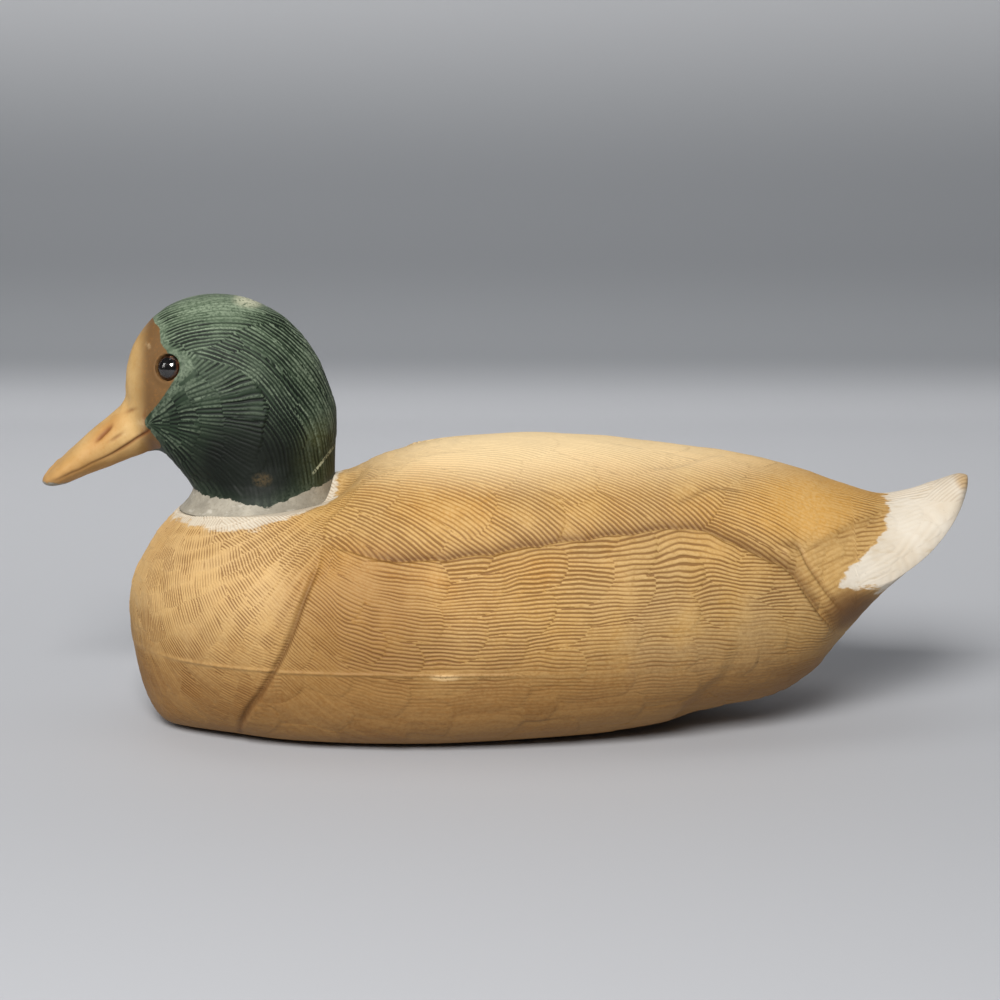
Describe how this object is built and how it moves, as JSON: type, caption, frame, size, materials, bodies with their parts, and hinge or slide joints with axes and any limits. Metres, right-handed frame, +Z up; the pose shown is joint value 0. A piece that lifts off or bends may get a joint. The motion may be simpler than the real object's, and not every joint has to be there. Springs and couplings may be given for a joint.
{
  "type": "duck decoy figurine",
  "caption": "Resting duck decoy with a hollow two-shell cast body, feather carving, a separate painted head on a tilted neck joint, glass eyes and a felt base.",
  "frame": {"origin": "on the surface that the decoy stands on, under the middle of its overall length, in its plane of symmetry", "axes": "-X towards the bill, +X towards the tail, +Y towards the decoy's right side, +Z up"},
  "size_m": [0.3044, 0.1178, 0.1415],
  "materials": {
    "body_resin": "tan wood-flour cast resin, satin, carved feather barbs, white painted tail",
    "head_paint": "dark green paint over carved resin, bare tan bill and face, white collar",
    "eye_glass": "clear polished",
    "iris_enamel": "brown enamel behind glass",
    "pupil_enamel": "black enamel behind glass",
    "steel": "plain steel wire and hardware",
    "beech": "plain turned dowel",
    "felt": "short brown felt"
  },
  "bodies": {
    "root": {"upper_body_shell": "body_resin", "lower_body_shell": "body_resin", "base_felt": "felt", "head": "head_paint", "left_eye_glass": "eye_glass", "left_eye_iris": "iris_enamel", "left_eye_pupil": "pupil_enamel", "left_eye_wire": "steel", "right_eye_glass": "eye_glass", "right_eye_iris": "iris_enamel", "right_eye_pupil": "pupil_enamel", "right_eye_wire": "steel", "neck_dowel": "beech", "neck_washer": "steel", "neck_screw": "steel", "seam_dowel_front_left": "beech", "seam_dowel_front_right": "beech", "seam_dowel_rear_left": "beech", "seam_dowel_rear_right": "beech"}
  },
  "joints": []
}
